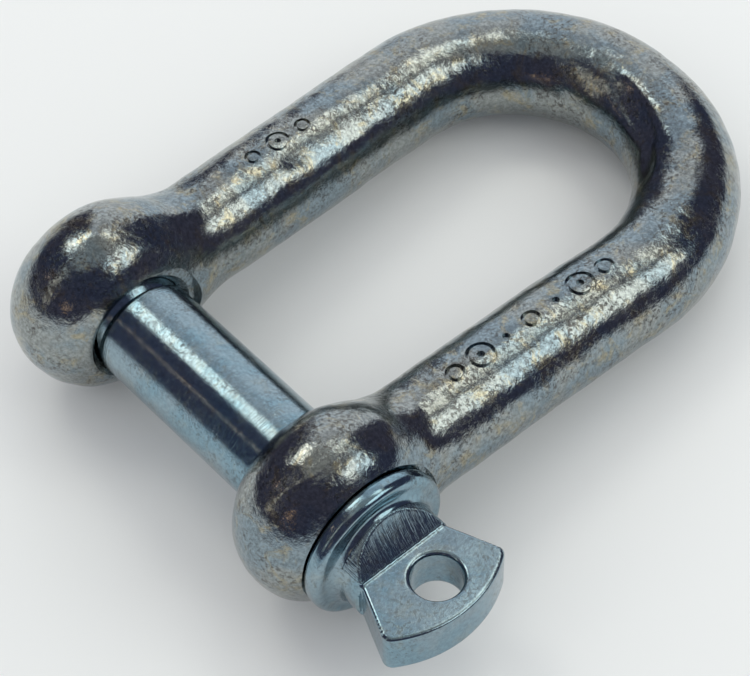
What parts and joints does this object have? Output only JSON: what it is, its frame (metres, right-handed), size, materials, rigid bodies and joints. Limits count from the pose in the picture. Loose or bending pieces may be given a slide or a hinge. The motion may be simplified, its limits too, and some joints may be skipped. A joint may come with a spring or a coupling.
{
  "type": "dee shackle with screw collar pin",
  "caption": "Forged zinc-plated dee shackle: a bent round bar with two ears, closed by a screw pin with a collar and a flat tab with an eye.",
  "frame": {"origin": "on the pin's axis, midway between the two ears", "axes": "+X along the pin from the tapped ear towards the collar and tab, +Y from the pin towards the crown, +Z square to the plane of the dee"},
  "size_m": [0.064, 0.0781, 0.0216],
  "materials": {
    "body_zinc": "bright zinc plate over a forged skin",
    "pin_zinc": "bright zinc plate over turned steel"
  },
  "bodies": {
    "bow": {"shackle_body": "body_zinc"},
    "pin": {"screw_pin": "pin_zinc"}
  },
  "joints": [
    {"name": "pin_slide", "type": "slide", "parent": "bow", "child": "pin", "axis": [1, 0, 0], "range_m": [0, 0.06]}
  ]
}
